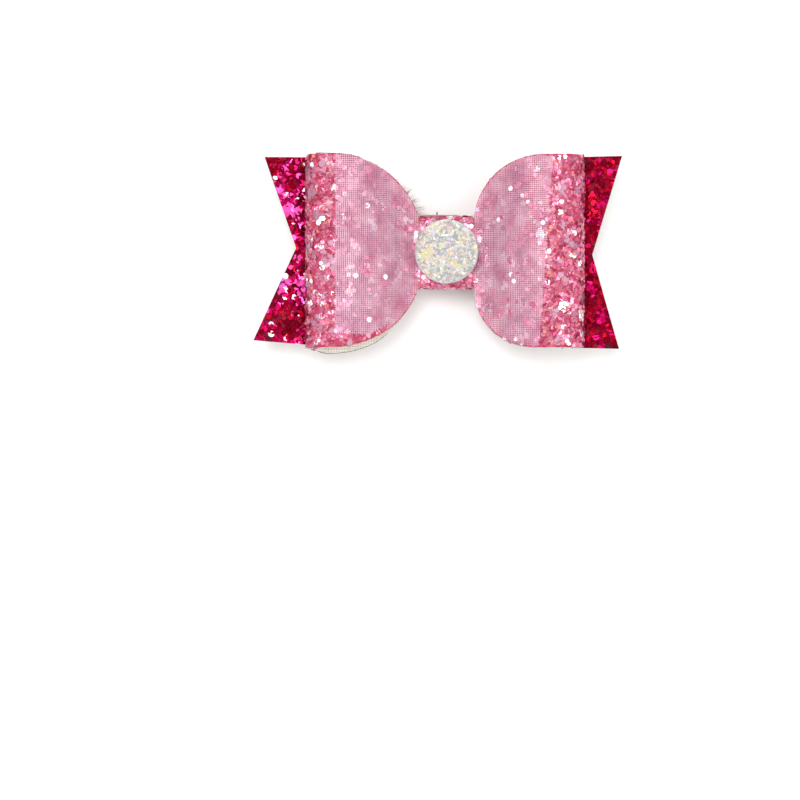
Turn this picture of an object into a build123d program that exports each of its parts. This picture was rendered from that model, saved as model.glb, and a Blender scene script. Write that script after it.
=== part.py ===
from build123d import *
import math
import os

# A small hair bow, about 70 mm across. A bow-tie strip of magenta glitter canvas makes the
# tails, and a folded strip of pink glitter canvas with a sheer facing makes the two loops.
# Black thread binds the neck, a short glitter strip wraps it round the upper arm of a sprung
# alligator clip, and a flat round cabochon is glued on top.
#
# Millimetres. The bow lies on its clip: X runs along it, Y up its height and Z out of its
# face. Everything is built about the neck, then moved so that the origin is on the table,
# under the middle of the whole bow.

# ---- sheet goods ----
canvas_thick = 0.5
glitter_thick = 0.5
sheer_thick = 0.15

# ---- tails, measured from the neck ----
tail_tip_left_top = (-34.2, 17.9)
tail_notch_left = (-28.3, 0.8)
tail_tip_left_bottom = (-36.3, -16.6)
tail_tip_right_top = (33.1, 18.1)
tail_notch_right = (27.5, -0.5)
tail_tip_right_bottom = (32.5, -18.2)
tail_half_height = 17.9
tail_flare_extra = 2.75

# ---- loops, measured from the neck ----
loop_reach_left = 26.3
loop_reach_right = 25.7
loop_half_height = 18.3
loop_flare_extra_left = 3.3
loop_flare_extra_right = 0.0
neck_half_height = 5.35
fold_radius = 3.0
dihedral = 6.0
bend_radius = 20.0
crown_rise = 8.0
crown_share = 0.7
butt_gap = 0.3

# ---- sheer facing on the loops' front ----
sheer_left_end = -20.9
sheer_right_top = 19.8
sheer_right_bottom = 17.2

# ---- neck wrap, thread and glue ----
wrap_width = 10.0
wrap_land = 0.2
wrap_seam_gap = 0.3
thread_diameter = 0.35
thread_turns = 5
thread_pitch = 0.34
thread_clearance = 0.025
glue_thin = 0.2
clip_glue_thick = thread_diameter + 4 * thread_clearance
seam_glue_thick = 0.35
seam_glue_width = 3.4

# ---- cabochon ----
cabochon_radius = 6.0
cabochon_side = 1.4
cabochon_shoulder = 0.9
cabochon_dome = 0.6

# ---- alligator clip ----
clip_sheet = 0.6
clip_width = 7.0
jaw_tip_x = 22.0
lever_end_x = -24.0
hinge_x = -8.2
lever_extra_slope = 1.5
pad_length = 3.2
arm_arch = 0.9
pin_radius = 0.8
pin_fit = 0.03
pin_head_radius = 1.3
pin_head_thick = 0.35
ear_radius = 1.6
ear_gap = 0.15
wire_diameter = 0.55
coil_play = 0.12
leg_gap = 0.03
coil_turns = 5
coil_pitch = 0.6
leg_length = 9.0
spring_clearance = 0.28
tooth_pitch = 2.0
tooth_height = 1.0
tooth_gap = 0.2
tooth_start_x = 7.5
tooth_count = 7
nose_depth = 2.4
nose_half_width = 2.6
tip_clearance = 0.3

# ---- levels above the table, worked out from the stack ----
wrap_thick = canvas_thick + glitter_thick
thread_room = thread_diameter + 2 * thread_clearance
coil_radius = pin_radius + coil_play + wire_diameter / 2
spring_room = coil_radius + wire_diameter / 2 + spring_clearance
lever_bend_x = hinge_x - ear_radius
hinge_z = arm_arch + clip_sheet + spring_room
plate_under_z = hinge_z + spring_room
plate_top_z = plate_under_z + clip_sheet
tail_back_z = plate_top_z + clip_glue_thick
tail_front_z = tail_back_z + canvas_thick + glitter_thick
rear_z = tail_front_z + glue_thin + glitter_thick
front_z = rear_z + canvas_thick + glue_thin + canvas_thick
stack_top_z = front_z + glitter_thick + sheer_thick
wrap_top_z = stack_top_z + thread_room + wrap_thick
neck_half_width = wrap_width / 2 + wrap_land
neck_x = (-tail_tip_left_bottom[0] - tail_tip_right_top[0]) / 2
tall = 60.0


def right_of(heading):
    """Unit vector to the right of a heading in degrees, in the XZ plane."""
    a = math.radians(heading)
    return Vector(math.sin(a), -math.cos(a))


def ahead_of(heading):
    a = math.radians(heading)
    return Vector(math.cos(a), math.sin(a))


def walk(start, moves, out, heading=0.0):
    """Edges of a path of lines and tangent arcs, shifted by out to the right of travel.

    A move is ("run", length) or ("arc", radius, degrees), where a left turn is positive.
    """
    edges = []
    point = Vector(*start)
    for kind, *size in moves:
        begin = point + right_of(heading) * out
        if kind == "run":
            point = point + ahead_of(heading) * size[0]
            edges.append(Line(begin, point + right_of(heading) * out))
            continue
        radius, turn = size
        swing = radius if turn > 0 else -radius
        centre = point - right_of(heading) * swing
        middle = centre + right_of(heading + turn / 2) * (swing + out)
        heading += turn
        point = centre + right_of(heading) * swing
        edges.append(ThreePointArc(begin, middle, point + right_of(heading) * out))
    return edges


def sheet_along(start, moves, inner, outer, heading=0.0):
    """Solid of a sheet that follows a path in XZ, between two distances from it."""
    near = walk(start, moves, inner, heading)
    far = walk(start, moves, outer, heading)
    ends = [Line(near[0] @ 0, far[0] @ 0), Line(near[-1] @ 1, far[-1] @ 1)]
    return extrude(Plane.XZ * make_face(near + far + ends), amount=tall, both=True)


def to_the_left(solid):
    return mirror(solid, about=Plane.YZ)


def loop_back(reach):
    """Path of a loop's back, from the butted end under the neck to the top of the fold."""
    sway = math.sin(math.radians(dihedral))
    bend_end = neck_half_width + bend_radius * sway
    fold_reach = fold_radius * (1 - sway) + glitter_thick
    return [
        ("run", neck_half_width - butt_gap / 2),
        ("arc", bend_radius, dihedral),
        ("run", (reach - bend_end - fold_reach) / math.cos(math.radians(dihedral))),
        ("arc", fold_radius, 180 - dihedral - crown_rise),
    ]


def loop_crest(reach):
    """Top of the fold, where the loop's front begins."""
    return walk((butt_gap / 2, rear_z), loop_back(reach), 0)[-1] @ 1


def loop_front(reach):
    """Path of a loop's front: a crown arc, then a hollow arc down to the flat of the neck.

    Both arcs hang on the straight line from the crest to the neck. The crown's share of it
    sets how steeply the crown ends, and the law of sines gives the two chords.
    """
    crest = loop_crest(reach)
    across, down = crest.X - neck_half_width, crest.Y - front_z
    line = math.hypot(across, down)
    slope = math.degrees(math.atan2(down, across))
    neck_fall = 2 * slope + crown_share * crown_rise
    spread = math.sin(math.radians(crown_rise / 2))
    crown_chord = line * math.sin(math.radians(crown_share * crown_rise / 2)) / spread
    hollow_chord = line * math.sin(math.radians((1 - crown_share) * crown_rise / 2)) / spread
    crown_turn = crown_rise + neck_fall
    return [
        ("arc", crown_chord / (2 * math.sin(math.radians(crown_turn / 2))), crown_turn),
        ("arc", hollow_chord / (2 * math.sin(math.radians(neck_fall / 2))), -neck_fall),
        ("run", neck_half_width),
    ]


def bow_outline(half_height, left_extra, right_extra, left_side, right_side):
    """Face in XY of a bow: a narrow neck, full height at both sides, and ends given as points.

    Each side flares from the neck in an arc that is a quarter circle when its extra length
    is 0, and shallower as that grows.
    """
    n, w, h = neck_half_height, neck_half_width, half_height
    left_x = -(w + h - n + left_extra)
    right_x = w + h - n + right_extra
    right = Polyline((right_x, h), *right_side, (right_x, -h))
    left = Polyline((left_x, -h), *left_side, (left_x, h))
    flares = [
        TangentArc((right_x, h), (w, n), tangent=(-1, 0)),
        TangentArc((right_x, -h), (w, -n), tangent=(-1, 0)),
        TangentArc((left_x, h), (-w, n), tangent=(1, 0)),
        TangentArc((left_x, -h), (-w, -n), tangent=(1, 0)),
    ]
    neck = [Line((-w, n), (w, n)), Line((-w, -n), (w, -n))]
    return make_face(right.edges() + left.edges() + flares + neck)


def upright(face):
    """The outline's face as a tall prism that trims a sheet."""
    return extrude(face, amount=tall)


# ---- tails ----
def tail_prism():
    left = [tail_tip_left_bottom, tail_notch_left, tail_tip_left_top]
    right = [tail_tip_right_top, tail_notch_right, tail_tip_right_bottom]
    return upright(
        bow_outline(tail_half_height, tail_flare_extra, tail_flare_extra, left, right)
    )


def tail_layer(inner, outer):
    """A layer of the tail strip, which lies parallel under the loops' back."""
    moves = [
        ("run", neck_half_width),
        ("arc", bend_radius, dihedral),
        ("run", tall),
    ]
    half = sheet_along((0, rear_z), moves, inner, outer)
    return (half + to_the_left(half)) & tail_prism()


def tail_glitter():
    face = glitter_thick + glue_thin
    return tail_layer(face, face + glitter_thick)


def tail_backing():
    face = glitter_thick + glue_thin + glitter_thick
    return tail_layer(face, face + canvas_thick)


# ---- loops ----
def loop_prism():
    h = loop_half_height
    left, right = -loop_reach_left - 1, loop_reach_right + 1
    return upright(
        bow_outline(
            h,
            loop_flare_extra_left,
            loop_flare_extra_right,
            [(left, -h), (left, h)],
            [(right, h), (right, -h)],
        )
    )


def loop_layer(inner, outer):
    """A layer of the loop strip: round each fold, and with its ends butted at the back."""
    start = (butt_gap / 2, rear_z)
    right, left = [
        sheet_along(start, loop_back(reach) + loop_front(reach), inner, outer)
        for reach in (loop_reach_right, loop_reach_left)
    ]
    return (right + to_the_left(left)) & loop_prism()


def sheer_overlay():
    """Sheer woven facing on the front of both loops, trimmed to its own cut edges."""
    inner, outer, heading = glitter_thick, glitter_thick + sheer_thick, 180 - crown_rise
    right, left = [
        sheet_along(loop_crest(reach), loop_front(reach), inner, outer, heading)
        for reach in (loop_reach_right, loop_reach_left)
    ]
    h = loop_half_height
    cut = Polyline(
        (sheer_left_end, -h),
        (sheer_right_bottom, -h),
        (sheer_right_top, h),
        (sheer_left_end, h),
        close=True,
    )
    return (right + to_the_left(left)) & loop_prism() & upright(make_face(cut))


# ---- neck ----
def stack_section():
    """Convex YZ section of what the wrap goes round: sheets on top, the clip's arm below."""
    half_arm = clip_width / 2
    n = neck_half_height
    points = [
        (-half_arm, plate_under_z + thread_room),
        (half_arm, plate_under_z + thread_room),
        (n, tail_back_z),
        (n, stack_top_z),
        (-n, stack_top_z),
        (-n, tail_back_z),
    ]
    return make_face(Polyline(*points, close=True))


def wrap_layer(inner, outer):
    """A layer of the neck wrap, whose two ends butt under the clip's arm."""
    section = stack_section()
    ring = offset(section, amount=outer) - offset(section, amount=inner)
    seam = Pos(0, plate_under_z - wrap_thick) * Rectangle(wrap_seam_gap, 2 * wrap_thick + 1)
    return extrude(Plane.YZ * (ring - seam), amount=wrap_width / 2, both=True)


def binding_thread():
    """Turns of thread round the tails and loops, side by side at the middle of the neck."""
    n = neck_half_height
    points = [(-n, tail_back_z), (n, tail_back_z), (n, stack_top_z), (-n, stack_top_z)]
    section = make_face(Polyline(*points, close=True))
    away = thread_diameter / 2 + thread_clearance
    route = Plane.YZ * offset(section, amount=away)
    path = route.faces()[0].outer_wire()
    start = path @ 0
    profile = Plane(origin=start, z_dir=path % 0) * Circle(thread_diameter / 2)
    turn = sweep(profile, path=path)
    first = -(thread_turns - 1) / 2 * thread_pitch
    turns = [Pos(first + k * thread_pitch, 0, 0) * turn for k in range(thread_turns)]
    return turns[0].fuse(*turns[1:])


def pad(length, width, thick, level):
    """A thin block of set glue with rounded corners, resting at a level."""
    corner = min(length, width) / 4
    return Pos(0, 0, level) * extrude(RectangleRounded(length, width, corner), amount=thick)


def clip_glue():
    """Two pads of glue on the clip's arm, one each side of the thread."""
    band = thread_turns * thread_pitch / 2 + thread_diameter
    length = wrap_width / 2 - band - wrap_land
    place = band + length / 2
    lump = pad(length, clip_width - 2 * clip_sheet, clip_glue_thick, plate_top_z)
    return [Pos(side * place, 0, 0) * lump for side in (-1, 1)]


# ---- cabochon ----
def cabochon():
    """Flat-backed round cabochon with a rounded shoulder and a shallow dome."""
    base = wrap_top_z + glue_thin
    shoulder_z = base + cabochon_side + cabochon_shoulder
    inner = cabochon_radius - cabochon_shoulder
    top = shoulder_z + cabochon_dome
    dome_radius = (inner**2 + cabochon_dome**2) / (2 * cabochon_dome)
    half_arc = math.asin(inner / dome_radius) / 2
    dome_middle = (
        dome_radius * math.sin(half_arc),
        top - dome_radius * (1 - math.cos(half_arc)),
    )
    rim = (cabochon_radius, base + cabochon_side)
    side = Polyline((0, top), (0, base), (cabochon_radius, base), rim)
    turn = cabochon_shoulder * math.sqrt(0.5)
    shoulder = ThreePointArc(
        rim, (inner + turn, base + cabochon_side + turn), (inner, shoulder_z)
    )
    dome = ThreePointArc((inner, shoulder_z), dome_middle, (0, top))
    return revolve(Plane.XZ * make_face(side.edges() + [shoulder, dome]), axis=Axis.Z)


# ---- clip ----
def arm_level(x):
    """Underside of the lower arm: raised at the hinge, on the table at both ends."""
    rear, front = lever_end_x + pad_length, jaw_tip_x - pad_length
    if x <= rear or x >= front:
        return 0.0
    if x < hinge_x:
        return arm_arch * (x - rear) / (hinge_x - rear)
    return arm_arch * (front - x) / (front - hinge_x)


def strip(points, width):
    """A sheet-metal strip whose underside follows points in XZ."""
    top = [(x, z + clip_sheet) for x, z in reversed(points)]
    return extrude(
        Plane.XZ * make_face(Polyline(*points, *top, close=True)), amount=width / 2, both=True
    )


def clip_plan(tip_x):
    """Plan of an arm: a rounded finger pad at the lever, a tapered nose at the jaw."""
    half = clip_width / 2
    taper_x = tip_x - pad_length
    rounded = half - clip_sheet
    face = make_face(
        Polyline(
            (lever_end_x, -half),
            (taper_x, -half),
            (tip_x, -nose_half_width),
            (tip_x, nose_half_width),
            (taper_x, half),
            (lever_end_x, half),
            close=True,
        )
    )
    ends = [v for v in face.vertices() if abs(v.X - lever_end_x) < 0.01]
    return upright(fillet(ends, rounded))


def side_plates(profile, outer):
    """The same flat plate on both sides, with its outer face at a distance from the middle."""
    plate = extrude(Plane.XZ.offset(outer - clip_sheet) * profile, amount=clip_sheet)
    return plate + mirror(plate, about=Plane.XZ)


def ear_profile(root_z):
    """Round-ended ear from a plate to the pin, with the pin's hole."""
    reach = abs(root_z - hinge_z)
    stem = Pos(hinge_x, (root_z + hinge_z) / 2) * Rectangle(2 * ear_radius, reach)
    eye = Pos(hinge_x, hinge_z) * Circle(ear_radius)
    return stem + eye


def pin_hole(fit):
    hole = Plane.XZ * Pos(hinge_x, hinge_z) * Circle(pin_radius + fit)
    return extrude(hole, amount=clip_width, both=True)


def tooth_line(shift):
    """Zigzag edge of a jaw, shifted up or down by half the gap between the jaws."""
    middle = (plate_under_z + arm_level(tooth_start_x) + clip_sheet) / 2
    points = []
    for k in range(tooth_count):
        x = tooth_start_x + k * tooth_pitch
        points.append((x, middle - tooth_height / 2 + shift))
        points.append((x + tooth_pitch / 2, middle + tooth_height / 2 + shift))
    last = tooth_start_x + tooth_count * tooth_pitch
    points.append((last, middle - tooth_height / 2 + shift))
    return points


def clip_upper_arm():
    """Arm glued to the bow: flat plate, raised lever, toothed sides, hooked nose and ears."""
    slope = math.tan(math.radians(dihedral + lever_extra_slope))
    lever_rise = (lever_bend_x - lever_end_x) * slope
    plate = strip(
        [
            (lever_end_x, plate_under_z + lever_rise),
            (lever_bend_x, plate_under_z),
            (jaw_tip_x + clip_sheet, plate_under_z),
        ],
        clip_width,
    )
    nose = Pos(jaw_tip_x + clip_sheet / 2, 0, plate_top_z - (nose_depth + clip_sheet) / 2) * Box(
        clip_sheet, clip_width, nose_depth + clip_sheet
    )
    body = (plate + nose) & clip_plan(jaw_tip_x + clip_sheet)
    teeth = tooth_line(tooth_gap / 2)
    inside = plate_under_z + clip_sheet / 2
    flange = make_face(
        Polyline(*teeth, (teeth[-1][0], inside), (teeth[0][0], inside), close=True)
    )
    body += side_plates(flange, clip_width / 2)
    body += side_plates(ear_profile(inside), clip_width / 2)
    return body - pin_hole(0)


def clip_lower_arm():
    """Moving arm: its jaw and lever both rest on the table, and it arches at the hinge."""
    tip = jaw_tip_x - tip_clearance
    stations = [lever_end_x, lever_end_x + pad_length, hinge_x, jaw_tip_x - pad_length, tip]
    body = strip([(x, arm_level(x)) for x in stations], clip_width) & clip_plan(tip)
    teeth = tooth_line(-tooth_gap / 2)
    roots = [(x, arm_level(x) + clip_sheet / 2) for x in (teeth[-1][0], teeth[0][0])]
    flange = make_face(Polyline(*teeth, *roots, close=True))
    body += side_plates(flange, clip_width / 2)
    inner_face = clip_width / 2 - clip_sheet - ear_gap
    body += side_plates(ear_profile(arm_arch + clip_sheet / 2), inner_face)
    return body - pin_hole(pin_fit)


def clip_hinge_pin():
    """Riveted pin with a flat head outside each ear."""
    shank = Cylinder(pin_radius, clip_width, rotation=(90, 0, 0))
    head = Cylinder(pin_head_radius, pin_head_thick, rotation=(90, 0, 0))
    side = (clip_width + pin_head_thick) / 2
    return Pos(hinge_x, 0, hinge_z) * (shank + Pos(0, side, 0) * head + Pos(0, -side, 0) * head)


def clip_spring():
    """Torsion spring: a coil round the pin, with one leg against each lever."""
    wire = wire_diameter / 2
    lever_mid = hinge_x - leg_length
    slope = math.tan(math.radians(dihedral + lever_extra_slope))
    over = plate_under_z + max(0, lever_bend_x - lever_mid) * slope - hinge_z
    under = hinge_z - arm_level(lever_mid) - clip_sheet
    room = leg_gap + wire
    rise_up = math.asin((over - room - coil_radius) / leg_length)
    rise_down = math.asin((under - room - coil_radius) / leg_length)
    sweep_angle = math.pi - rise_up - rise_down + 2 * math.pi * coil_turns
    turns = sweep_angle / (2 * math.pi)
    height = turns * coil_pitch
    helix = Helix(coil_pitch, height, coil_radius)
    start = helix @ 0
    profile = Plane(origin=start, z_dir=helix % 0) * Circle(wire)
    coil = sweep(profile, path=helix, is_frenet=True)
    # Lay the coil along Y, with its start at the upper leg.
    turned = Rot(-90, 0, 0) * Pos(0, 0, -height / 2) * coil
    placed = Rot(0, -math.degrees(math.pi / 2 - rise_up), 0) * turned

    def leg(angle, y, away, up):
        """Straight leg that leaves the coil at a place on it, towards the lever."""
        root = Vector(coil_radius * math.cos(angle), y, coil_radius * math.sin(angle))
        line = Plane(origin=root, z_dir=(-math.cos(away), 0, up * math.sin(away)))
        return line * Cylinder(
            wire, leg_length, align=(Align.CENTER, Align.CENTER, Align.MIN)
        )

    upper = leg(math.pi / 2 - rise_up, -height / 2, rise_up, 1)
    lower = leg(-math.pi / 2 + rise_down, height / 2, rise_down, -1)
    return Pos(hinge_x, 0, hinge_z) * (placed + upper + lower)


def save(name, shape):
    """Write a node, moved so that the origin is under the middle of the whole bow."""
    found = shape if isinstance(shape, list) else [shape]
    solids = [s for piece in found for s in (Pos(neck_x, 0, 0) * piece).solids()]
    whole = solids[0] if len(solids) == 1 else Compound(children=solids)
    export_step(whole, f"parts/{name}.step")


os.makedirs("parts", exist_ok=True)

neck_pad = wrap_width - 1
stack_pad = 2 * neck_half_height - 1
seam_level = plate_under_z - wrap_thick - seam_glue_thick

save("tail_glitter", tail_glitter())
save("tail_backing", tail_backing())
save("loop_glitter", loop_layer(0, glitter_thick))
save("loop_backing", loop_layer(-canvas_thick, 0))
save("sheer_overlay", sheer_overlay())
save("wrap_backing", wrap_layer(thread_room, thread_room + canvas_thick))
save("wrap_glitter", wrap_layer(thread_room + canvas_thick, thread_room + wrap_thick))
save("binding_thread", binding_thread())
save("loop_glue", pad(neck_pad, stack_pad, glue_thin, rear_z + canvas_thick))
save("tail_glue", pad(neck_pad, stack_pad, glue_thin, tail_front_z))
save("clip_glue", clip_glue())
save("wrap_seam_glue", pad(wrap_width - 2, seam_glue_width, seam_glue_thick, seam_level))
save("cabochon_glue", pad(neck_pad, neck_pad, glue_thin, wrap_top_z))
save("cabochon", cabochon())
save("clip_upper_arm", clip_upper_arm())
save("clip_lower_arm", clip_lower_arm())
save("clip_hinge_pin", clip_hinge_pin())
save("clip_spring", clip_spring())
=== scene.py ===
import math
import random

import bmesh
import bpy
from mathutils import Matrix, Vector, noise
from mathutils.bvhtree import BVHTree
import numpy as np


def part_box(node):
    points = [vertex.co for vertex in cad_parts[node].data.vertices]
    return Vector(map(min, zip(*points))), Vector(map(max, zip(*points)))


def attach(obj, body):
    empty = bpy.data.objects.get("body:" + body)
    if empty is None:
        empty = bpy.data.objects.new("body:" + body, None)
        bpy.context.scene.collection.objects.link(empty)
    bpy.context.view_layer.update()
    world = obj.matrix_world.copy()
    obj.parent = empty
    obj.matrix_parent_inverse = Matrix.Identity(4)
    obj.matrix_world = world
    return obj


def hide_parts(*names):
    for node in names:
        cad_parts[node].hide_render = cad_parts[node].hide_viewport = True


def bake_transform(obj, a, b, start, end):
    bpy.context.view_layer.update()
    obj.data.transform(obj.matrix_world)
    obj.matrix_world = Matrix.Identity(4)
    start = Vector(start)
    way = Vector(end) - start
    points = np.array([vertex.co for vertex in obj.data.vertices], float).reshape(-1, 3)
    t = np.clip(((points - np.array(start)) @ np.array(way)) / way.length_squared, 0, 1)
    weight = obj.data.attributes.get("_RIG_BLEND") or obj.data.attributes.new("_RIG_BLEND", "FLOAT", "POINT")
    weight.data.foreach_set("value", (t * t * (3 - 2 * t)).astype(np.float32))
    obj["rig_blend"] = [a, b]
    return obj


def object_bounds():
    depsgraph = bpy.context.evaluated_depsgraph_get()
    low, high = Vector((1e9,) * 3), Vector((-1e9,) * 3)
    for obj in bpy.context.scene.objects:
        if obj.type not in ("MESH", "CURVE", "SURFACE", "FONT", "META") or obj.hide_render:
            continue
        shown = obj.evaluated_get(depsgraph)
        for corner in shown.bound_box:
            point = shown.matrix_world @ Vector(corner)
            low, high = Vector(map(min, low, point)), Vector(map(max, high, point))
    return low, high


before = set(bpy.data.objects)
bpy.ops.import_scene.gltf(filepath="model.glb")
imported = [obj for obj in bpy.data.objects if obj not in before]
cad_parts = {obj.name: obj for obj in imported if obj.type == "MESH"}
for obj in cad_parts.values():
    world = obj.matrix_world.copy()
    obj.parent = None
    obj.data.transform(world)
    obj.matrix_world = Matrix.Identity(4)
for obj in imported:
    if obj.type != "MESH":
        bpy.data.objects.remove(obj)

cad_box = [list(corner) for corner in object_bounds()]
random.seed(7)

# ---- Tail canvas ----
# One strip of unbleached cotton canvas, cut narrow at the neck and forked at both ends. It is
# glued to the clip with its bare weave downwards.
wrap_low, wrap_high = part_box("wrap_glitter")
neck_x = (wrap_low.x + wrap_high.x) / 2


def plain_finish(name, colour, **settings):
    """A finish with values set on the shader's own sockets."""
    finish = bpy.data.materials.new(name)
    finish.use_nodes = True
    shader = finish.node_tree.nodes["Principled BSDF"]
    shader.inputs["Base Color"].default_value = (*colour, 1)
    for socket, value in settings.items():
        shader.inputs[socket.replace("_", " ")].default_value = value
    return finish


def add_node(finish, kind, settings, *feeds):
    """Add a node to a finish: its settings by name, and the sockets that feed it."""
    node = finish.node_tree.nodes.new(kind)
    for name, value in settings.items():
        if name in node.inputs:
            node.inputs[name].default_value = value
        else:
            setattr(node, name, value)
    for name, socket in feeds:
        finish.node_tree.links.new(socket, node.inputs[name])
    return node


def surface_place(finish, cloth_map=None):
    """Where a pattern is read: along the cloth's own map, or in the piece's space."""
    if cloth_map:
        return add_node(finish, "ShaderNodeUVMap", {"uv_map": cloth_map}).outputs["UV"]
    return add_node(finish, "ShaderNodeTexCoord", {}).outputs["Object"]


def shade_between(finish, factor, stops):
    """Colour the finish by a ramp of (place, colour) stops along a factor."""
    node = add_node(finish, "ShaderNodeValToRGB", {}, ("Fac", factor))
    ramp = node.color_ramp
    while len(ramp.elements) < len(stops):
        ramp.elements.new(0.5)
    for element, (place, colour) in zip(ramp.elements, stops):
        element.position = place
        element.color = (*colour, 1)
    shader = finish.node_tree.nodes["Principled BSDF"]
    finish.node_tree.links.new(node.outputs["Color"], shader.inputs["Base Color"])


def raise_by(finish, height, strength, depth):
    """Bump the finish by a height."""
    settings = {"Strength": strength, "Distance": depth}
    bump = add_node(finish, "ShaderNodeBump", settings, ("Height", height))
    shader = finish.node_tree.nodes["Principled BSDF"]
    finish.node_tree.links.new(bump.outputs["Normal"], shader.inputs["Normal"])


def weave_finish(name, dark, light, per_metre, cloth_map=None, **settings):
    """Plain weave: warp and weft bands for colour and bump, with uneven slubs."""
    finish = plain_finish(name, light, Roughness=0.9, **settings)
    place = surface_place(finish, cloth_map)
    bands = []
    for way in ("X", "Y"):
        looks = {"bands_direction": way, "Scale": per_metre, "Distortion": 0.8}
        wave = add_node(finish, "ShaderNodeTexWave", looks, ("Vector", place))
        bands.append(wave.outputs["Fac"])
    either = {"operation": "MAXIMUM"}
    threads = add_node(finish, "ShaderNodeMath", either, (0, bands[0]), (1, bands[1])).outputs[0]
    slubs = add_node(finish, "ShaderNodeTexNoise", {"Scale": per_metre}, ("Vector", place))
    times = {"operation": "MULTIPLY"}
    shade = add_node(finish, "ShaderNodeMath", times, (0, threads), (1, slubs.outputs["Fac"]))
    shade_between(finish, shade.outputs[0], [(0.12, dark), (0.5, light)])
    raise_by(finish, threads, 0.6, 0.0001)
    return finish


def refinish(node, finish):
    """Give a CAD node its real finish."""
    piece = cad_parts[node]
    piece.data.materials.clear()
    piece.data.materials.append(finish)
    return piece


cream_dark, cream_light = (0.72, 0.62, 0.52), (0.97, 0.91, 0.84)
canvas = weave_finish("canvas weave", cream_dark, cream_light, 620, Sheen_Weight=0.25)
tail_canvas = refinish("tail_backing", canvas)

# ---- Tail glitter ----
# Chunky magenta glitter set in clear crimson binder on the front of the tail strip. Most
# flakes lie sunk and soft. White and scarlet flakes are painted glints. The two tails get
# different flake mixes: the left is lighter as painted light, and the right is darker as
# painted shade from the loop.


def binder_finish(name, stops, cells_per_metre, **settings):
    """Coloured binder: small uneven cells of colour, with the same cells as bumps."""
    finish = plain_finish(name, stops[0][1], **settings)
    looks = {"Scale": cells_per_metre}
    cells = add_node(finish, "ShaderNodeTexVoronoi", looks, ("Vector", surface_place(finish)))
    tones = add_node(finish, "ShaderNodeSeparateColor", {}, ("Color", cells.outputs["Color"]))
    shade_between(finish, tones.outputs["Red"], stops)
    raise_by(finish, cells.outputs["Distance"], 0.5, 0.0002)
    return finish


def flake_finish(name, colour, **settings):
    looks = {"Metallic": 0.5, "Roughness": 0.3, "Coat_Weight": 0.3, "Coat_Roughness": 0.12}
    looks.update(settings)
    return plain_finish(name, colour, **looks)


def shape_of(node):
    """A copy of a CAD node's mesh."""
    shape = bmesh.new()
    shape.from_mesh(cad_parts[node].data)
    return shape


def clear_of_edges(tree, place, normal, margin):
    """Whether the surface reaches past a place by a margin all round."""
    across = normal.orthogonal().normalized()
    for step in range(6):
        out = Matrix.Rotation(step * math.tau / 6, 3, normal) @ across
        start = place + out * margin + normal * 0.001
        if tree.ray_cast(start, -normal, 0.002)[0] is None:
            return False
    return True


def spots_on(shape, per_mm2, margin, wanted):
    """Random places on a shape's faces, with their normals, a margin from its edges."""
    bmesh.ops.triangulate(shape, faces=shape.faces)
    shape.normal_update()
    tree = BVHTree.FromBMesh(shape)
    found = []
    for face in shape.faces:
        normal = face.normal.copy()
        count = face.calc_area() * 1e6 * per_mm2
        a, b, c = [v.co for v in face.verts]
        for _ in range(int(count) + (random.random() < count % 1)):
            u, v = random.random(), random.random()
            if u + v > 1:
                u, v = 1 - u, 1 - v
            place = a + (b - a) * u + (c - a) * v
            if wanted(place, normal) and clear_of_edges(tree, place, normal, margin):
                found.append((place, normal))
    shape.free()
    random.shuffle(found)
    return found


def kind_at(place, kinds):
    """Which kind of flake lies at a place: mixed at random, but some lie in drifts."""
    for number, (_, _, _, drift) in enumerate(kinds):
        field = place * 420 + Vector((11.3 * number, 4.1, 2.7))
        if drift and noise.noise(field) > drift:
            return number
    return random.choices(range(len(kinds)), [kind[0] for kind in kinds])[0]


def joined(shapes):
    """Several bmeshes as one."""
    whole, spare = bmesh.new(), bpy.data.meshes.new("spare")
    for shape in shapes:
        shape.to_mesh(spare)
        whole.from_mesh(spare)
        shape.free()
    bpy.data.meshes.remove(spare)
    return whole


def scatter(spots, kinds, lift, sides=(6, 7), rim=None, thick=0.00005):
    """Plates at the spots. A kind is (share, half width, largest tilt, drift)."""
    handfuls, handful = [], bmesh.new()
    for count, (place, normal) in enumerate(spots):
        pick = kind_at(place, kinds)
        _, wide, tilt, _ = kinds[pick]
        wide *= random.uniform(0.88, 1.12)
        lean = math.radians(tilt) * random.random() ** 0.6
        turn = normal.to_track_quat("Z", "Y").to_matrix().to_4x4()
        turn = turn @ Matrix.Rotation(random.uniform(0, math.tau), 4, "Z")
        turn = turn @ Matrix.Rotation(lean, 4, "X")
        turn = turn @ Matrix.Rotation(random.uniform(0, math.tau), 4, "Z")
        rise = normal * (lift * random.uniform(0.2, 1))
        plate = bmesh.ops.create_cone(
            handful,
            cap_ends=True,
            segments=random.randint(*sides),
            radius1=wide,
            radius2=wide - 1.6 * thick,
            depth=thick,
            matrix=Matrix.Translation(place + rise) @ turn,
        )
        for face in {f for v in plate["verts"] for f in v.link_faces}:
            is_rim = rim is not None and len(face.verts) == 4
            face.material_index = rim if is_rim else pick
        if count % 150 == 149:
            handfuls.append(handful)
            handful = bmesh.new()
    return joined([*handfuls, handful])


def as_piece(shape, name, finishes, smooth=False):
    """Turn a bmesh into a piece of the bow with its finishes."""
    mesh = bpy.data.meshes.new(name)
    shape.to_mesh(mesh)
    shape.free()
    piece = bpy.data.objects.new(name, mesh)
    bpy.context.scene.collection.objects.link(piece)
    for finish in finishes:
        mesh.materials.append(finish)
    if smooth:
        mesh.shade_smooth()
    return piece


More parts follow.
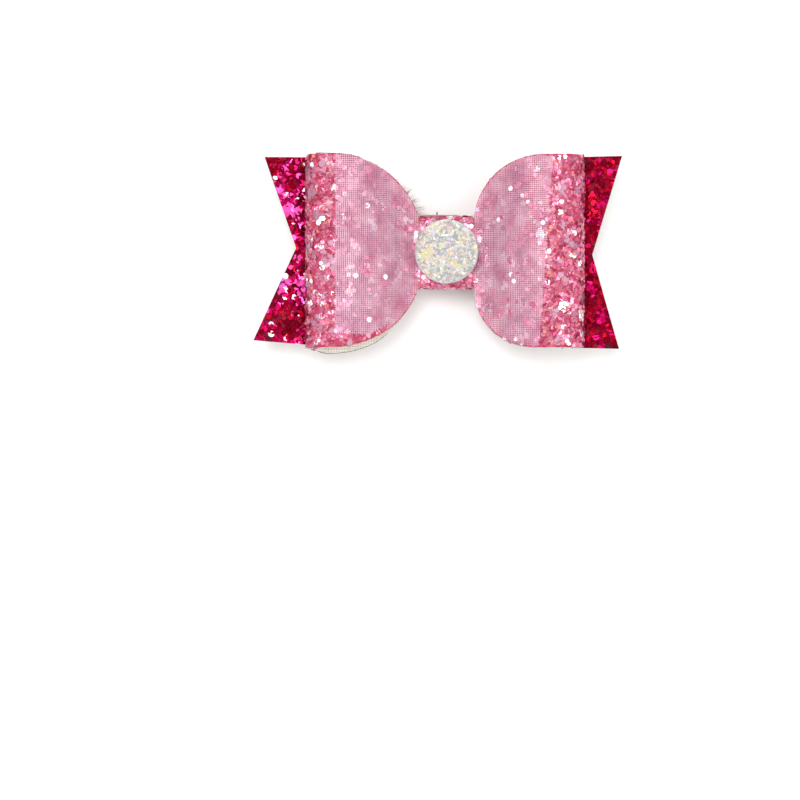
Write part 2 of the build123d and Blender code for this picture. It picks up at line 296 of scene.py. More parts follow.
crimson_stops = [(0.0, (0.06, 0.0, 0.01)), (0.6, (0.20, 0.001, 0.02)), (1.0, (0.30, 0.002, 0.04))]
sunk = {"Roughness": 0.5, "Specular_IOR_Level": 0.1}
crimson_binder = binder_finish("crimson binder", crimson_stops, 900, **sunk)
tail_coat = refinish("tail_glitter", crimson_binder)

dyed = {"Metallic": 0.9, "Specular_IOR_Level": 0.1, "Coat_Weight": 0.03}
magenta_flakes = [
    flake_finish("crimson flake", (0.24, 0.0, 0.010), **dyed),
    flake_finish("magenta flake", (0.35, 0.001, 0.06), **dyed),
    flake_finish("wine flake", (0.16, 0.0, 0.01), Roughness=0.45, **dyed),
    flake_finish("hot pink flake", (0.85, 0.06, 0.36), Metallic=0.6, Coat_Weight=0.1),
    # Painted glints: the scarlet flakes and the near-white tail flash flakes stand for light caught by
    # tilted flakes.
    flake_finish("painted red glint flake", (0.70, 0.002, 0.012), **dyed),
    flake_finish("painted glint tail flake", (1.0, 0.90, 0.96), Roughness=0.25, Metallic=0.2),
]
# The left tail's mix has more magenta and hot pink and is painted light. The right tail's mix below has more
# crimson and wine and is painted shade from the loop above it.
painted_lit_tail_mix = [
    (32, 0.00064, 18, 0),
    (36, 0.00066, 18, 0),
    (14, 0.00062, 24, 0.34),
    (9, 0.00060, 14, 0.36),
    (2, 0.00042, 24, 0),
    (4, 0.00058, 8, 0.42),
]
painted_shaded_tail_mix = [
    (54, 0.00066, 16, 0),
    (12, 0.00068, 14, 0.46),
    (32, 0.00064, 20, 0.22),
    (0.4, 0.00055, 12, 0),
    (2, 0.00040, 24, 0),
    (0, 0.00050, 8, 0),
]


def on_tail_front(side):
    """Beyond the loop on one side of the neck, on the face that shows."""
    return lambda place, normal: normal.z > 0.9 and side * (place.x - neck_x) > 0.0215


def trim_plates(shape, start, end, outward):
    """Cut plates along an upright plane through two places, and close their cut sides."""
    across = (end - start).cross(Vector((0, 0, 1)))
    cut = bmesh.ops.bisect_plane(
        shape,
        geom=[*shape.verts, *shape.edges, *shape.faces],
        plane_co=start,
        plane_no=across * math.copysign(1, across.dot(outward)),
        clear_outer=True,
    )["geom_cut"]
    edges = [part for part in cut if isinstance(part, bmesh.types.BMEdge)]
    bmesh.ops.holes_fill(shape, edges=edges, sides=0)
    bmesh.ops.recalc_face_normals(shape, faces=shape.faces)


tail_shoulder = Vector((0.0204, 0.0179, 0))
notches = {-1: Vector((-0.0283, 0.0008, 0)), 1: Vector((0.0275, -0.0005, 0))}
tips = {
    (-1, 1): Vector((-0.0342, 0.0179, 0)),
    (-1, -1): Vector((-0.0363, -0.0166, 0)),
    (1, 1): Vector((0.0331, 0.0181, 0)),
    (1, -1): Vector((0.0325, -0.0182, 0)),
}
neck = Vector((neck_x, 0, 0))
flakes = []
for (side, half), tip in tips.items():
    notch = notches[side]
    spots = [
        (place, normal)
        for place, normal in spots_on(shape_of("tail_glitter"), 2.8, 0.00004, on_tail_front(side))
        if half * (place.y - notch.y) > 0
    ]
    # The right tail gets the painted shade mix and the left tail the painted light mix.
    fork = scatter(spots, painted_shaded_tail_mix if side > 0 else painted_lit_tail_mix, 0.0001)
    shoulder = Vector((side, half, 0)) * tail_shoulder
    trim_plates(fork, neck + shoulder, neck + tip, Vector((0, half, 0)))
    trim_plates(fork, neck + notch, neck + tip, Vector((side, 0, 0)))
    flakes.append(fork)
tail_flakes = as_piece(joined(flakes), "tail_flakes", magenta_flakes)
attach(tail_flakes, "bow")

# ---- Loop canvas ----
# One strip of unbleached canvas, cut narrow in the middle, is folded into both loops, and its
# ends butt behind the neck. The left loop was folded a little askew, so the inside of its
# back shows as a cream line under the front.
canvas_low, canvas_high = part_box("loop_backing")
coat_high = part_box("loop_glitter")[1]
glue_low, glue_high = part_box("loop_glue")
neck_half_width = (wrap_high.x - wrap_low.x) / 2 + 0.0002
neck_half_height = 0.00535
shoulder_height = 0.0066
half_height = coat_high.y
back_z = canvas_low.z
canvas_thick = glue_low.z - back_z
coat_thick = 0.0005
front_z = glue_high.z + canvas_thick
fold_radius = 0.003
dihedral = math.radians(6)
bend_radius = 0.020
crown_rise = math.radians(8)
crown_share = 0.7


def rightward(heading):
    """The way out of a loop: to the right of its travel in XZ."""
    return Vector((math.sin(heading), 0, -math.cos(heading)))


def onward(heading):
    return Vector((math.cos(heading), 0, math.sin(heading)))


def loop_reach(side):
    """How far from the neck's middle the canvas of a loop reaches."""
    return canvas_high.x - neck_x if side > 0 else neck_x - canvas_low.x


def loop_back(reach):
    """Moves along a loop's back, from the butted ends to the top of the fold."""
    bend_end = neck_half_width + bend_radius * math.sin(dihedral)
    rest = reach - bend_end - fold_radius * (1 - math.sin(dihedral))
    return [
        ("run", neck_half_width, 0),
        ("arc", bend_radius, dihedral),
        ("run", rest / math.cos(dihedral), 0),
        ("arc", fold_radius, math.pi - dihedral - crown_rise),
    ]


def length_of(moves):
    return sum(size if kind == "run" else size * abs(turn) for kind, size, turn in moves)


def after(place, heading, moves):
    """Where a path has come to after its moves, and which way it heads."""
    for kind, size, turn in moves:
        if kind == "run":
            place = place + onward(heading) * size
            continue
        swing = math.copysign(size, turn)
        place = place + (rightward(heading + turn) - rightward(heading)) * swing
        heading += turn
    return place, heading


def loop_front(reach):
    """Moves down a loop's front: a crown arc, a hollow arc and the flat of the neck."""
    crest = after(Vector((0, 0, back_z)), 0, loop_back(reach))[0]
    across, down = crest.x - neck_half_width, crest.z - front_z
    line, slope = math.hypot(across, down), math.atan2(down, across)
    fall = 2 * slope + crown_share * crown_rise
    spread = math.sin(crown_rise / 2)
    crown = line * math.sin(crown_share * crown_rise / 2) / spread
    hollow = line * math.sin((1 - crown_share) * crown_rise / 2) / spread
    crown_turn = crown_rise + fall
    return [
        ("arc", crown / (2 * math.sin(crown_turn / 2)), crown_turn),
        ("arc", hollow / (2 * math.sin(fall / 2)), -fall),
        ("run", neck_half_width, 0),
    ]


def lay_strip(place, heading, moves, out, spacing, odd):
    """Sweep a row of the cloth's width along a path. Every odd cell is `odd` spacings wide."""
    strip = bmesh.new()
    travel = strip.verts.layers.float.new("travel")
    course = strip.verts.layers.int.new("course")
    start = place + rightward(heading) * out
    rows = 2 * round(half_height / spacing)
    levels = [half_height * (2 * (k + k % 2 * (1 - odd)) / rows - 1) for k in range(rows + 1)]
    first = [strip.verts.new(start + Vector((0, level, 0))) for level in levels]
    row = first + [strip.edges.new(pair) for pair in zip(first, first[1:])]
    gone, number = 0.0, 0
    for kind, size, turn in moves:
        length = length_of([(kind, size, turn)])
        steps = 2 * max(1, round(length / spacing / 2))
        centre = place - rightward(heading) * math.copysign(size, turn)
        for _ in range(steps):
            row = [part for part in row if not isinstance(part, bmesh.types.BMFace)]
            share = (odd if number % 2 else 2 - odd) / steps
            gone += length * share
            number += 1
            if kind == "run":
                edges = [part for part in row if isinstance(part, bmesh.types.BMEdge)]
                row = bmesh.ops.extrude_edge_only(strip, edges=edges)["geom"]
                verts = [part for part in row if isinstance(part, bmesh.types.BMVert)]
                shift = onward(heading) * (length * share)
                bmesh.ops.translate(strip, verts=verts, vec=shift)
            else:
                row = bmesh.ops.spin(
                    strip,
                    geom=row,
                    cent=centre,
                    axis=(0, -math.copysign(1, turn), 0),
                    angle=abs(turn) * share,
                    steps=1,
                )["geom_last"]
            for part in row:
                if isinstance(part, bmesh.types.BMVert):
                    part[travel] = gone
                    part[course] = number
        place, heading = after(place, heading, [(kind, size, turn)])
    return strip


def cut_line(far, full, extra):
    """Half height of a bow's cut edge at a distance from the neck, with a round flare."""
    reach = full - neck_half_height + extra
    far = far - neck_half_width
    if far <= 0:
        return neck_half_height
    if far >= reach:
        return full
    rise = full - shoulder_height
    radius = (reach**2 + rise**2) / (2 * rise)
    return full - radius + math.sqrt(radius**2 - (reach - far) ** 2)


def front_edge(x, top):
    """How far from the middle line the front's cut edge is, at x from the neck."""
    if x < 0:
        return cut_line(-x, 0.0181 if top else 0.0182, 0.0033 if top else 0.0035)
    return cut_line(x, 0.0180, 0.0002 if top else -0.0011)


def back_shift(far, top):
    """How far the left loop's back stands out past its front at a cut edge."""
    askew = max(0.0, min(1.0, (loop_reach(-1) - 0.0004 - far) / 0.0025))
    near = max(0.0, min(1.0, (far - neck_half_width) / 0.008))
    return (0.00025 if top else 0.0008) * askew * near


def trim_to_cut(strip, side):
    """Bring each row of the strip to the hand-cut edges of its loop."""
    for v in strip.verts:
        far, share = abs(v.co.x), v.co.y / half_height
        edge = front_edge(side * far, share > 0)
        if far > neck_half_width:
            edge += noise.noise(Vector((far * 900, share * 3, side))) * 0.00008
        middle = (back_z + front_z) / 2 + max(0, far - neck_half_width) * 0.23
        if side < 0:
            shift = back_shift(far, share > 0)
            edge += shift if v.co.z < middle else -0.25 * shift
        v.co.y = share * edge


def loop_strip(side, front_only=False, out=0.0, spacing=0.0006, odd=1.0):
    """One loop's strip, from its butted end or its crest to the middle of the neck."""
    reach = loop_reach(side)
    place, heading, moves = Vector((0, 0, back_z)), 0.0, loop_back(reach)
    if front_only:
        place, heading = after(place, heading, moves)
        moves = []
    strip = lay_strip(place, heading, moves + loop_front(reach), out, spacing, odd)
    if not front_only:
        trim_to_cut(strip, side)
    if side < 0:
        bmesh.ops.scale(strip, verts=strip.verts, vec=(-1, 1, 1))
    else:
        bmesh.ops.reverse_faces(strip, faces=strip.faces)
    bmesh.ops.translate(strip, verts=strip.verts, vec=(neck_x, 0, 0))
    return strip


def both_loops():
    """Both loops' strips, joined at the middle of the neck."""
    strips = joined([loop_strip(side) for side in (-1, 1)])
    bmesh.ops.remove_doubles(strips, verts=strips.verts, dist=0.00001)
    return strips


def map_cloth(shape):
    """Give a strip its UV map in metres: along its travel, and across it."""
    travel = shape.verts.layers.float["travel"]
    cloth = shape.loops.layers.uv.new("Cloth")
    for face in shape.faces:
        for corner in face.loops:
            corner[cloth].uv = (corner.vert[travel], corner.vert.co.y)


def thicken(piece, thick, offset):
    wall = piece.modifiers.new("thickness", "SOLIDIFY")
    wall.thickness = thick
    wall.offset = offset


loop_weave = weave_finish(
    "loop canvas weave", cream_dark, cream_light, 620, cloth_map="Cloth", Sheen_Weight=0.25
)
strips = both_loops()
map_cloth(strips)
loop_length = sum(
    length_of(loop_back(reach) + loop_front(reach)) for reach in map(loop_reach, (-1, 1))
)
loop_area = sum(face.calc_area() for face in strips.faces)
loop_canvas = as_piece(strips, "loop_canvas", [loop_weave], smooth=True)
thicken(loop_canvas, canvas_thick, -1)
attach(loop_canvas, "bow")
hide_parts("loop_backing")

# ---- Loop glitter ----
# Chunky rose glitter: hexagonal film flakes about 1 mm across in a deep rose binder. They
# overlap like scales and lie at all tilts. Their colours are partly their own and partly
# painted light and shade tied to tilt: steep flakes are darker rose, flatter ones blush. In
# places flat flakes lie together, painted grey-mauve as a painted reflection of the sky.
# White flakes are painted glints, and the plates' sloped rims are painted shade.
rose_stops = [(0.0, (0.36, 0.01, 0.05)), (0.7, (0.60, 0.04, 0.13)), (1.0, (0.75, 0.16, 0.22))]
glossy = {"Roughness": 0.35, "Coat_Weight": 0.4, "Coat_Roughness": 0.15}
rose_binder = binder_finish("rose binder", rose_stops, 1100, **glossy)
loop_coat = as_piece(both_loops(), "loop_coat", [rose_binder], smooth=True)
thicken(loop_coat, coat_thick - 0.0001, 1)
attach(loop_coat, "bow")
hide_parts("loop_glitter")

rose_flakes = [
    # Rose flakes are painted shade and blush flakes painted light, partly on top of their own pink.
    flake_finish("rose flake painted shade", (0.56, 0.055, 0.14)),
    flake_finish("pink flake", (0.66, 0.15, 0.27)),
    flake_finish("blush flake painted light", (0.74, 0.26, 0.39)),
    # Painted reflection: the grey-mauve colour of the flat flakes stands for the sky mirrored in them.
    flake_finish("mauve flake painted sky reflection", (0.42, 0.20, 0.29), Metallic=0.2, Roughness=0.4),
    flake_finish("peach flake", (0.84, 0.24, 0.17)),
    # Painted glints: near-white flash flakes stand for flakes catching the light.
    flake_finish("painted white glint flake", (1.0, 0.97, 0.98), Roughness=0.25, Metallic=0.2),
    # Painted shade: the plates' sloped sides get a darker rose for the shade at flake edges between
    # overlapping flakes.
    flake_finish("flake rim painted shade", (0.42, 0.02, 0.08), Metallic=0.1, Roughness=0.4),
]
# The slot of the darker rim finish, which is painted shade.
painted_shade_rim_slot = len(rose_flakes) - 1
# The darker rose kinds get the steepest tilts and blush the flattest, so colour paints the shade and light
# that tilt would give.
bare_kinds = [
    (26, 0.00056, 46, 0),
    (36, 0.00057, 38, 0),
    (22, 0.00058, 28, 0),
    (3, 0.00075, 5, 0.40),
    (5, 0.00045, 40, 0),
    (2, 0.00058, 10, 0.46),
]
faced_kinds = [
    (40, 0.00056, 22, 0),
    (32, 0.00057, 18, 0),
    (20, 0.00058, 14, 0.30),
    (3, 0.00065, 4, 0.46),
    (4, 0.00045, 14, 0),
    (3, 0.00060, 6, 0.40),
]
facing_left = -0.0209
facing_right_top, facing_right_bottom = 0.0198, 0.0172
facing_low_left = [(-0.0210, -0.0157), (-0.0145, -0.0157), (-0.0112, -0.0140)]


def facing_covers(place, margin=0.0):
    """Whether the sheer facing covers a place. It stops short low on the left."""
    x, y = place.x - neck_x, place.y
    share = (y + half_height) / (2 * half_height)
    right = facing_right_bottom + (facing_right_top - facing_right_bottom) * share
    if not facing_left < x < right:
        return False
    low = -front_edge(x, False) + margin
    for (x_a, y_a), (x_b, y_b) in zip(facing_low_left, facing_low_left[1:]):
        if x_a <= x <= x_b:
            low = y_a + (y_b - y_a) * (x - x_a) / (x_b - x_a) + margin
    return low < y < front_edge(x, True) - margin


def outside_neck(place):
    return abs(place.x - neck_x) > neck_half_width - 0.0006


def under_facing(place, normal):
    return outside_neck(place) and normal.z > 0.3 and facing_covers(place, 0.0002)


def shows_bare(place, normal):
    """Not under the facing, and on the back only past the tails' narrower cut."""
    if normal.z > 0.3 and facing_covers(place, 0.0002):
        return False
    return outside_neck(place) and (normal.z > -0.3 or abs(place.x - neck_x) > 0.0215)


def coat_face(side):
    """The outer face of one loop's coat."""
    strip = loop_strip(side)
    strip.normal_update()
    for v, way in [(v, v.normal.copy()) for v in strip.verts]:
        v.co += Vector((way.x, 0, way.z)) * (coat_thick - 0.0001)
    return strip


bare, faced = [], []
for side in (-1, 1):
    bare += spots_on(coat_face(side), 2.5, 0.00035, shows_bare)
    faced += spots_on(coat_face(side), 2.1, 0.0004, under_facing)
loop_flakes = as_piece(
    scatter(bare, bare_kinds, 0.00015, rim=painted_shade_rim_slot), "loop_flakes", rose_flakes
)
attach(loop_flakes, "bow")
faced_flakes = as_piece(
    scatter(faced, faced_kinds, 0.0001, rim=painted_shade_rim_slot), "flakes_under_facing", rose_flakes
)
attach(faced_flakes, "bow")

# ---- Sheer facing ----
# A sheer open plain weave of mauve thread, laid on the glitter of both loops' front and cut
# with them. Its cut ends fray a little.
thread_pitch = 0.00037
gap_width = 1.34
facing_lift = coat_thick + 0.00022


def weave_net(side):
    """One loop's facing: a grid whose odd cells both ways are the gaps between threads."""
    net = loop_strip(side, True, facing_lift, thread_pitch / 2, gap_width)
    course = net.verts.layers.int["course"]
    rows = 2 * round(2 * half_height / thread_pitch)
    spare = []
    for face in net.faces:
        place = face.calc_center_median()
        along = min(v[course] for v in face.verts)
        up = round((min(v.co.y for v in face.verts) / half_height + 1) * rows / 2)
        in_gap = along % 2 == 1 and up % 2 == 1
        if in_gap or not facing_covers(place, 0.00012 + noise.noise(place * 3000) * 0.0002):
            spare.append(face)
    bmesh.ops.delete(net, geom=spare, context="FACES")
    map_cloth(net)
    return net


net = joined([weave_net(side) for side in (-1, 1)])
for v in net.verts:
    v.co.z += noise.noise(v.co * 700) * 0.00007
    v.co.y += noise.noise(v.co * 160 + Vector((3, 0, 0))) * 0.00015
mauve, pale = (0.56, 0.23, 0.35), (0.80, 0.50, 0.62)
sheer = plain_finish("sheer mauve weave", mauve, Roughness=0.55, Sheen_Weight=0.4)
place = surface_place(sheer, "Cloth")
milk = add_node(sheer, "ShaderNodeTexNoise", {"Scale": 260.0}, ("Vector", place))
shade_between(sheer, milk.outputs["Fac"], [(0.35, mauve), (0.68, pale)])
sheer_facing = as_piece(net, "sheer_facing", [sheer])
thicken(sheer_facing, 0.00008, 0)
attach(sheer_facing, "bow")
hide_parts("sheer_overlay")

# ---- Painted glints on the facing ----
# Pale flakes laid on top of the sheer facing in small groups are painted highlights: they
# stand for the glitter's flashes of light seen through the sheer.
painted_glint_kinds = [
    (0, 0.00056, 10, 0),
    (12, 0.00048, 10, 0),
    (66, 0.00052, 10, 0),
    (10, 0.00060, 4, 0),
    (1, 0.00045, 10, 0),
    (10, 0.00050, 5, 0.45),
    (0, 0.00050, 5, 0),
]
on_top = facing_lift - coat_thick + 0.00012
painted_glint_spots = [
    (place + normal * on_top, normal)
    for place, normal in faced
    if noise.noise(place * 330) > 0.12 and random.random() < 0.22
]
# Painted highlights: pale flakes on top of the sheer facing.
painted_glints_on_facing = as_piece(scatter(painted_glint_spots, painted_glint_kinds, 0.00005), "painted_glints_on_facing", rose_flakes)
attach(painted_glints_on_facing, "bow")

# ---- Thread and glue ----
# Black polyester thread binds the loops and tails at the neck. Clear hot glue holds the loops,
# the tails, the clip and the cabochon.
black_thread = plain_finish("black thread", (0.02, 0.018, 0.022), Roughness=0.7)
looks = {"bands_direction": "DIAGONAL", "Scale": 2200.0}
twist = add_node(
    black_thread, "ShaderNodeTexWave", looks, ("Vector", surface_place(black_thread))
).outputs["Fac"]
shade_between(black_thread, twist, [(0.0, (0.008, 0.008, 0.008)), (1.0, (0.05, 0.045, 0.05))])
raise_by(black_thread, twist, 0.5, 0.00005)
refinish("binding_thread", black_thread)

glue = plain_finish("clear glue", (0.86, 0.84, 0.78), Roughness=0.3, Subsurface_Weight=0.4)
ripples = add_node(
    glue, "ShaderNodeTexNoise", {"Scale": 900.0}, ("Vector", surface_place(glue))
).outputs["Fac"]
shade_between(glue, ripples, [(0.3, (0.74, 0.72, 0.64)), (0.7, (0.93, 0.92, 0.88))])
raise_by(glue, ripples, 0.4, 0.0001)
for name in ("loop_glue", "tail_glue", "clip_glue", "wrap_seam_glue", "cabochon_glue"):
    refinish(name, glue)


def add_fibre(shape, root, way, length, radius, sides=3, number=0):
    """A tapering fibre from its root."""
    turn = way.to_track_quat("Z", "Y").to_matrix().to_4x4()
    made = bmesh.ops.create_cone(
        shape,
        cap_ends=True,
        segments=sides,
        radius1=radius,
        radius2=radius * 0.4,
        depth=length,
        matrix=Matrix.Translation(root + way * (length / 2)) @ turn,
    )
    for face in {f for v in made["verts"] for f in v.link_faces}:
        face.material_index = number


ends = bmesh.new()
upper_end = Vector((neck_x - 0.0018, wrap_high.y - 0.0004, wrap_high.z - 0.0016))
add_fibre(ends, upper_end, Vector((0.05, 1, 0.15)).normalized(), 0.0013, 0.0002, 8)
lower_end = Vector((neck_x - 0.0052, wrap_low.y - 0.0001, wrap_high.z - 0.002))
add_fibre(ends, lower_end, Vector((1, 0.12, 0.05)).normalized(), 0.0012, 0.00014, 8)
thread_ends = as_piece(ends, "thread_ends", [black_thread], smooth=True)
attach(thread_ends, "bow")

# ---- Frayed edges and painted shade lines ----
# Where the canvas was cut, its short fibres stand out: grey ones by the neck on the left loop.
# A brown line along its upper edge and a dark ragged line under its back are laid as fibres
# along the edges, and both are painted shade.
frays = bmesh.new()
grey, brown, dark, taupe = range(4)


def fray(stretch, count, place_at, lengths, radius, spread, number):
    """Fibres along a stretch of an edge. place_at(x) gives a root and a way out."""
    for _ in range(count):
        root, way = place_at(random.uniform(*stretch))
        way = way + Vector([random.uniform(-spread, spread) for _ in range(3)])
        add_fibre(frays, root, way.normalized(), random.uniform(*lengths), radius, 3, number)


def upper_edge(x):
    """A place on the left loop's upper cut edge, and the way out of the cloth."""
    y = front_edge(x, True)
    slope = (front_edge(x + 0.0004, True) - y) / 0.0004
    level = front_z + (-x - neck_half_width) * 0.25
    return Vector((neck_x + x, y - 0.0003, level)), Vector((-slope, 1, 0)).normalized()


def back_edge(top):
    """Places on the left loop's back edge, and the way along it."""
    sign = 1 if top else -1

    def place_at(x):
        edge = [front_edge(at, top) + back_shift(-at, top) for at in (x, x + 0.0004)]
        level = back_z + (-x - neck_half_width) * math.tan(dihedral)
        way = Vector((0.0004, sign * (edge[1] - edge[0]), 0)).normalized()
        return Vector((neck_x + x, sign * edge[0], level)), way

    return place_at


def front_rim(x):
    """A place on the rim of the left loop's front, and the way along it."""
    crest = after(Vector((0, 0, back_z)), 0, loop_back(loop_reach(-1)))[0]
    climb = (-x - neck_half_width) / (crest.x - neck_half_width)
    level = front_z + (crest.z - front_z) * min(1, climb)
    return Vector((neck_x + x, front_edge(x, True) + 0.0001, level)), Vector((1, 0, 0))


def wrap_edge(x):
    return Vector((neck_x + x, wrap_high.y + 0.0001, wrap_high.z - 0.0009)), Vector((1, 0, 0))


fray((-0.0085, -0.0050), 90, upper_edge, (0.0008, 0.0022), 0.000035, 0.5, grey)
fray((-0.0150, -0.0085), 80, upper_edge, (0.0005, 0.0012), 0.000035, 0.5, grey)
# Painted shade: brown fibres laid along the left loop's upper front rim.
fray((-0.0245, -0.0160), 50, front_rim, (0.0005, 0.0009), 0.00009, 0.06, brown)
# Painted shade: dark fibres laid along the lower edge of the left loop's back.
fray((-0.0245, -0.0115), 90, back_edge(False), (0.0004, 0.0009), 0.00013, 0.12, dark)
fray((-0.0050, 0.0016), 44, wrap_edge, (0.0006, 0.0012), 0.00018, 0.08, taupe)
fibre_finishes = [
    plain_finish("grey fibre", (0.50, 0.48, 0.45), Roughness=0.9),
    plain_finish("brown painted shade fibre", (0.22, 0.12, 0.08), Roughness=0.9),
    plain_finish("dark painted shade fibre", (0.09, 0.10, 0.07), Roughness=0.9),
    plain_finish("taupe fibre", (0.45, 0.37, 0.31), Roughness=0.9),
]
frayed_edges = as_piece(frays, "frayed_edges", fibre_finishes)
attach(frayed_edges, "bow")

# ---- Neck wrap ----
# A short strip of the same rose glitter canvas goes round the neck and the clip's upper arm,
# and its ends are glued together behind.
wrap_canvas = refinish("wrap_backing", canvas)
wrap_coat = refinish("wrap_glitter", rose_binder)
stone_low, stone_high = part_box("cabochon")
stone_radius = (stone_high.x - stone_low.x) / 2
wrap_middle = (wrap_low + wrap_high) / 2


def from_stone(place):
    return math.hypot(place.x - neck_x, place.y)


def shows_on_wrap(place, normal):
    """The wrap's outer face, clear of the cabochon and of the seam behind."""
    outer = normal.dot(place - wrap_middle) > 0 and abs(normal.x) < 0.5
    under_stone = normal.z > 0.5 and from_stone(place) < stone_radius - 0.0003
    return outer and not under_stone and normal.z > -0.5


wrap_kinds = [
    (16, 0.00050, 24, 0),
    (28, 0.00052, 24, 0),
    (40, 0.00052, 14, 0.30),
    (8, 0.00055, 5, 0),
    (4, 0.00040, 20, 0),
    (4, 0.00055, 8, 0.40),
]
spots = spots_on(shape_of("wrap_glitter"), 2.6, 0.0003, shows_on_wrap)
wrap_flakes = as_piece(
    scatter(spots, wrap_kinds, 0.00008, rim=painted_shade_rim_slot), "wrap_flakes", rose_flakes
)
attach(wrap_flakes, "bow")

# ---- Cabochon ----
# A flat-backed round resin cabochon, 12 mm across: clear silver-grey resin with a smooth rim,
# packed with small angular chips that show yellow, green, lilac and blue.
resin_stops = [(0.0, (0.46, 0.48, 0.45)), (1.0, (0.74, 0.75, 0.70))]
resin = binder_finish("silver resin", resin_stops, 1500, Roughness=0.25, Coat_Weight=0.3)
refinish("cabochon", resin)
soft = {"Metallic": 0.2, "Roughness": 0.42, "Coat_Weight": 0.15}
chip_finishes = [
    flake_finish("white chip", (0.70, 0.65, 0.59), **soft),
    flake_finish("yellow chip", (0.70, 0.65, 0.38), **soft),
    flake_finish("silver chip", (0.42, 0.42, 0.44), **soft),
    flake_finish("lilac chip", (0.56, 0.40, 0.58), **soft),
    flake_finish("blue chip", (0.42, 0.60, 0.62), **soft),
    flake_finish("peach chip", (0.74, 0.50, 0.38), **soft),
    flake_finish("green chip", (0.44, 0.60, 0.44), **soft),
    # Painted glints: the near-white flash chips stand for chips catching the light.
    flake_finish("painted white glint chip", (1.0, 0.99, 0.96), Metallic=0.2, Roughness=0.2),
]
chip_kinds = [
    (26, 0.00048, 34, 0),
    (13, 0.00042, 34, 0.60),
    (26, 0.00050, 38, 0),
    (12, 0.00042, 34, 0),
    (5, 0.00038, 34, 0),
    (12, 0.00040, 34, 0),
    (5, 0.00038, 34, 0),
    (1, 0.00032, 10, 0),
]


def on_dome(place, normal):
    return normal.z > 0.55 and from_stone(place) < stone_radius - 0.0004


spots = spots_on(shape_of("cabochon"), 7.0, 0.0002, on_dome)
chips = as_piece(
    scatter(spots, chip_kinds, 0.00008, sides=(3, 5), thick=0.00006), "druzy_chips", chip_finishes
)
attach(chips, "bow")

# ---- Clip ----
# A pressed steel alligator clip, nickel plated: two arms with side teeth, ears and a riveted
# pin. Fine drawing lines run along the strip.


def drawn_steel(name, dark, light, stretch, roughness):
    """Plated steel with fine lines along X."""
    finish = plain_finish(name, light, Metallic=1.0, Roughness=roughness)
    settings = {"Scale": stretch}
    place = add_node(
        finish, "ShaderNodeMapping", settings, ("Vector", surface_place(finish))
    ).outputs["Vector"]
    lines = add_node(finish, "ShaderNodeTexNoise", {"Scale": 1.0}, ("Vector", place))
    shade_between(finish, lines.outputs["Fac"], [(0.3, dark), (0.7, light)])
    raise_by(finish, lines.outputs["Fac"], 0.15, 0.00003)
    return finish


nickel = drawn_steel("nickel plate", (0.60, 0.58, 0.55), (0.80, 0.78, 0.75), (120, 5000, 5000), 0.28)
for name in ("clip_upper_arm", "clip_lower_arm", "clip_hinge_pin"):
    refinish(name, nickel)

# ---- Spring ----
# A torsion spring of round steel wire: five and a half turns round the pin, and a straight leg
# against each lever.
pin_low, pin_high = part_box("clip_hinge_pin")
hinge = Vector(((pin_low.x + pin_high.x) / 2, 0, (pin_low.z + pin_high.z) / 2))
wire_radius = 0.000275
coil_radius = 0.001195
coil_turns = 5
coil_pitch = 0.0006
leg_length = 0.0088
leg_rise = math.radians(7.8)
leg_fall = math.radians(5.7)
coil_angle = math.pi - leg_rise - leg_fall + math.tau * coil_turns
coil_steps = 24 * (coil_turns + 1)
coil_length = coil_pitch * coil_angle / math.tau


def face_among(parts):
    return next(part for part in parts if isinstance(part, bmesh.types.BMFace))


def draw_wire(shape, last, way):
    """Extrude the wire's last face straight on by a leg's length."""
    drawn = bmesh.ops.extrude_face_region(shape, geom=[last])["geom"]
    ahead = [part for part in drawn if isinstance(part, bmesh.types.BMVert)]
    bmesh.ops.translate(shape, verts=ahead, vec=way * leg_length)
    return face_among(drawn)


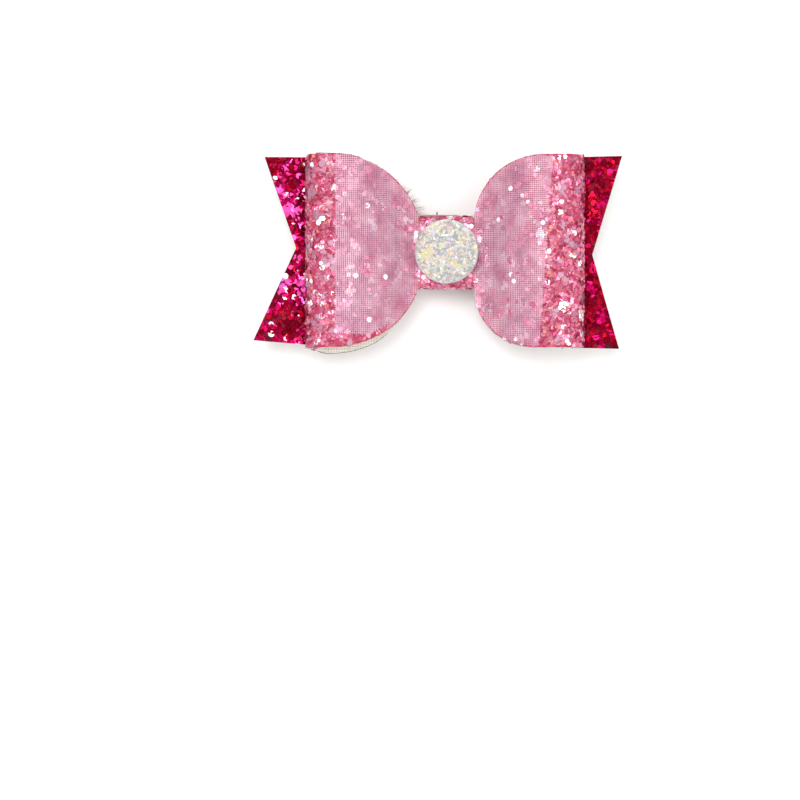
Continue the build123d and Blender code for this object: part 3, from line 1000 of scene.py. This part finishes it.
spring = bmesh.new()
into_coil = Vector((math.cos(leg_rise), 0, -math.sin(leg_rise)))
out_of_coil = Vector((-math.cos(leg_fall), 0, -math.sin(leg_fall)))
top_of_coil = hinge + Vector((math.sin(leg_rise), 0, math.cos(leg_rise))) * coil_radius
top_of_coil.y = -coil_length / 2
facing_coil = into_coil.to_track_quat("Z", "Y").to_matrix().to_4x4()
bmesh.ops.create_circle(
    spring,
    cap_ends=True,
    radius=wire_radius,
    segments=12,
    matrix=Matrix.Translation(top_of_coil - into_coil * leg_length) @ facing_coil,
)
wire_end = draw_wire(spring, face_among(spring.faces), into_coil)
wound = bmesh.ops.spin(
    spring,
    geom=[*wire_end.verts, *wire_end.edges, wire_end],
    cent=hinge,
    axis=(0, 1, 0),
    dvec=(0, coil_length / coil_steps, 0),
    angle=coil_angle,
    steps=coil_steps,
)["geom_last"]
draw_wire(spring, face_among(wound), out_of_coil)
bmesh.ops.recalc_face_normals(spring, faces=spring.faces)
spring_steel = drawn_steel(
    "spring steel", (0.34, 0.33, 0.32), (0.52, 0.51, 0.50), (3000, 3000, 3000), 0.32
)
torsion_spring = as_piece(spring, "torsion_spring", [spring_steel], smooth=True)
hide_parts("clip_spring")
legs_apart = Vector((0, coil_length / 2 - wire_radius, 0))
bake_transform(torsion_spring, "bow", "jaw", start=hinge - legs_apart, end=hinge + legs_apart)

# ---- Stage, lights and camera ----
# A white table under soft daylight, seen from straight above.
table = bmesh.new()
bmesh.ops.create_grid(table, x_segments=1, y_segments=1, size=1.5)
bmesh.ops.translate(table, verts=table.verts, vec=(0, 0, cad_box[0][2] - 0.00005))
white = plain_finish("white table", (0.93, 0.93, 0.93), Roughness=0.9)
table = as_piece(table, "table", [white])

world = bpy.data.worlds.new("daylight")
world.use_nodes = True
world.node_tree.nodes["Background"].inputs["Color"].default_value = (1, 1, 1, 1)
world.node_tree.nodes["Background"].inputs["Strength"].default_value = 0.72
bpy.context.scene.world = world


def soft_light(name, place, size, power):
    lamp = bpy.data.lights.new(name, "AREA")
    lamp.shape = "DISK"
    lamp.size = size
    lamp.energy = power
    light = bpy.data.objects.new(name, lamp)
    light.location = place
    light.rotation_euler = (-Vector(place)).to_track_quat("-Z", "Y").to_euler()
    bpy.context.scene.collection.objects.link(light)


soft_light("window", (-0.10, 0.14, 0.72), 0.30, 2.6)
soft_light("fill", (0.30, -0.10, 0.75), 0.6, 1.8)

eye = bpy.data.cameras.new("overhead")
eye.lens = 132
eye.sensor_width = 36
camera = bpy.data.objects.new("overhead", eye)
camera.location = (-0.00712, -0.02784, 0.562)
bpy.context.scene.collection.objects.link(camera)
bpy.context.scene.camera = camera
bpy.context.scene.view_settings.view_transform = "Standard"
